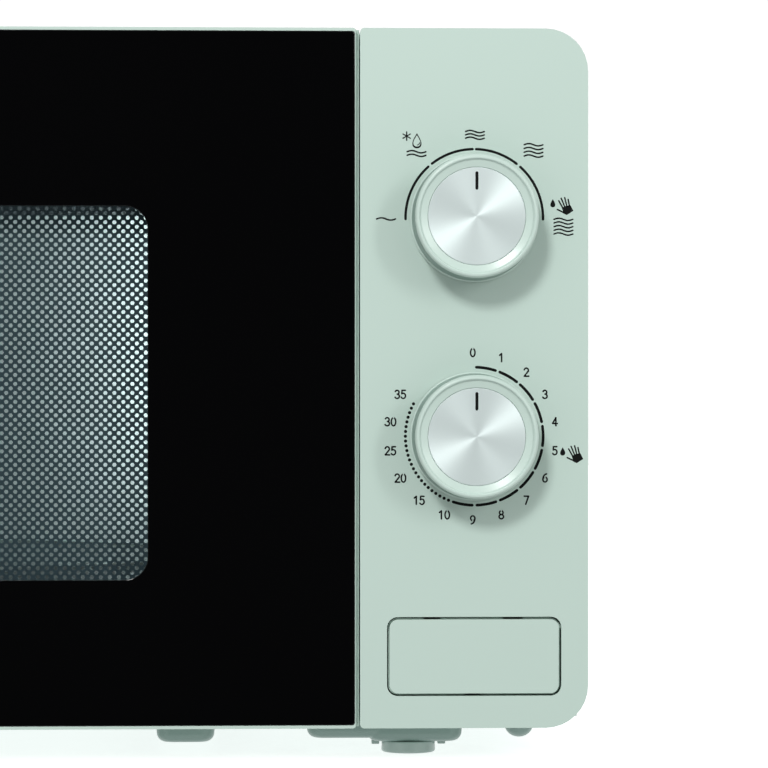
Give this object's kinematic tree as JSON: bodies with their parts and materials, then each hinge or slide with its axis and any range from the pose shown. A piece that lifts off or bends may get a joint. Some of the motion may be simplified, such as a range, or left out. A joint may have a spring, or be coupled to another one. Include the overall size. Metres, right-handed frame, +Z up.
{
  "type": "microwave oven",
  "caption": "Countertop microwave oven with a black glass door, a pale green control panel, two turning knobs, a push-to-open button and a glass turntable.",
  "frame": {"origin": "middle of the overall box in plan, at the level of the surface that the feet stand on", "axes": "+X to the control panel side, +Y to the rear, +Z up; the door and knobs face -Y"},
  "size_m": [0.44, 0.356, 0.2585],
  "materials": {
    "sage_plastic": "satin-gloss moulded ABS",
    "sage_paint": "semi-gloss powder coat",
    "frame_paint": "semi-gloss powder coat",
    "enamel": "light grey oven enamel",
    "zinc_sheet": "zinc plated",
    "black_glass": "back-printed float glass",
    "clear_film": "clear polyester",
    "dark_screen": "dark grey painted, perforated",
    "grey_plastic": "fine textured",
    "spun_aluminium": "spun brushed",
    "shaft_steel": "bright plated",
    "white_nylon": "smooth",
    "switch_black": "smooth",
    "cream_bakelite": "smooth",
    "spring_wire": "bright drawn",
    "tray_glass": "clear pressed glass",
    "mica": "pressed mica sheet",
    "anode_copper": "oxidised",
    "fin_aluminium": "mill",
    "core_steel": "varnished laminations",
    "enamelled_wire": "varnished copper wire",
    "can_aluminium": "drawn can",
    "fan_plastic": "moulded",
    "board": "solder mask",
    "lamp_glass": "glazed",
    "black_rubber": "moulded",
    "foot_plastic": "moulded, grey green",
    "screw_zinc": "zinc plated",
    "loom_sleeve": "PVC sleeve"
  },
  "bodies": {
    "cabinet": {"front_frame": "frame_paint", "cavity_floor": "enamel", "cavity_roof": "enamel", "cavity_left": "enamel", "cavity_right": "enamel", "cavity_back": "enamel", "base_plate": "frame_paint", "outer_case": "sage_paint", "rear_panel": "zinc_sheet", "rear_spacers": "grey_plastic", "control_panel": "sage_plastic", "power_selector": "cream_bakelite", "timer_mechanism": "zinc_sheet", "interlock_bracket": "white_nylon", "interlock_switches": "switch_black", "upper_hinge": "zinc_sheet", "lower_hinge": "zinc_sheet", "hinge_screws": "screw_zinc", "turntable_motor": "zinc_sheet", "magnetron_yoke": "zinc_sheet", "magnetron_fins": "fin_aluminium", "magnetron_anode": "anode_copper", "waveguide": "zinc_sheet", "waveguide_cover": "mica", "transformer_core": "core_steel", "transformer_windings": "enamelled_wire", "hv_capacitor": "can_aluminium", "capacitor_clamp": "zinc_sheet", "hv_diode": "switch_black", "fan_shroud": "fan_plastic", "fan_motor": "zinc_sheet", "air_duct": "fan_plastic", "filter_board": "board", "thermal_cutout": "cream_bakelite", "oven_lamp": "lamp_glass", "cord_gland": "black_rubber", "wiring_loom": "loom_sleeve", "front_feet": "foot_plastic", "rear_feet": "foot_plastic", "rear_screws": "screw_zinc"},
    "door": {"door_frame": "sage_plastic", "door_glass": "black_glass", "door_film": "clear_film", "door_screen": "dark_screen", "choke_cover": "grey_plastic", "latch_spring": "spring_wire"},
    "latch": {"door_latch": "white_nylon"},
    "button": {"open_button": "sage_plastic"},
    "slider": {"release_slider": "white_nylon"},
    "power_dial": {"power_knob": "sage_plastic", "power_knob_disc": "spun_aluminium", "power_shaft": "shaft_steel"},
    "timer_dial": {"timer_knob": "sage_plastic", "timer_knob_disc": "spun_aluminium", "timer_shaft": "shaft_steel"},
    "fan": {"fan_blade": "grey_plastic"},
    "turntable": {"turntable_coupler": "white_nylon"},
    "tray": {"glass_tray": "tray_glass"},
    "ring": {"roller_ring": "white_nylon"},
    "roller_a": {"roller_1": "white_nylon"},
    "roller_b": {"roller_2": "white_nylon"},
    "roller_c": {"roller_3": "white_nylon"}
  },
  "joints": [
    {"name": "door_hinge", "type": "hinge", "parent": "cabinet", "child": "door", "pos_m": [-0.212, -0.142, 0.1355], "axis": [0, 0, -1], "range_deg": [0, 110]},
    {"name": "latch_slide", "type": "slide", "parent": "door", "child": "latch", "axis": [0, 0, 1], "range_m": [-0.0038, 0]},
    {"name": "button_press", "type": "hinge", "parent": "cabinet", "child": "button", "pos_m": [0.17985, -0.1575, 0.0482], "axis": [1, 0, 0], "range_deg": [0, 7], "stiffness_Nm_per_rad": 2},
    {"name": "slider_lift", "type": "slide", "parent": "cabinet", "child": "slider", "axis": [0, 0, 1], "range_m": [0, 0.00375]},
    {"name": "power_turn", "type": "hinge", "parent": "cabinet", "child": "power_dial", "pos_m": [0.17985, -0.162, 0.1918], "axis": [0, 1, 0], "range_deg": [-90, 90]},
    {"name": "timer_turn", "type": "hinge", "parent": "cabinet", "child": "timer_dial", "pos_m": [0.17985, -0.162, 0.1151], "axis": [0, 1, 0], "range_deg": [0, 300]},
    {"name": "fan_spin", "type": "hinge", "parent": "cabinet", "child": "fan", "pos_m": [0.165, 0.14, 0.1595], "axis": [0, 1, 0], "continuous": true},
    {"name": "turntable_spin", "type": "hinge", "parent": "cabinet", "child": "turntable", "pos_m": [-0.04075, 0.0119, 0.05], "axis": [0, 0, 1], "continuous": true},
    {"name": "tray_lift", "type": "slide", "parent": "turntable", "child": "tray", "axis": [0, 0, 1], "range_m": [0, 0.02]},
    {"name": "ring_spin", "type": "hinge", "parent": "cabinet", "child": "ring", "pos_m": [-0.04075, 0.0119, 0.0471], "axis": [0, 0, 1], "continuous": true},
    {"name": "roller_a_spin", "type": "hinge", "parent": "ring", "child": "roller_a", "pos_m": [0.04725, 0.0119, 0.0471], "axis": [1, 0, 0], "continuous": true},
    {"name": "roller_b_spin", "type": "hinge", "parent": "ring", "child": "roller_b", "pos_m": [-0.08475, 0.08811, 0.0471], "axis": [-0.5, 0.866, 0], "continuous": true},
    {"name": "roller_c_spin", "type": "hinge", "parent": "ring", "child": "roller_c", "pos_m": [-0.08475, -0.06431, 0.0471], "axis": [-0.5, -0.866, 0], "continuous": true}
  ],
  "couplings": [
    {"joint": "slider_lift", "follows": "button_press", "m_per_rad": 0.030405},
    {"joint": "ring_spin", "follows": "turntable_spin", "ratio": 0.5},
    {"joint": "roller_a_spin", "follows": "turntable_spin", "ratio": -5.5},
    {"joint": "roller_b_spin", "follows": "turntable_spin", "ratio": -5.5},
    {"joint": "roller_c_spin", "follows": "turntable_spin", "ratio": -5.5}
  ]
}
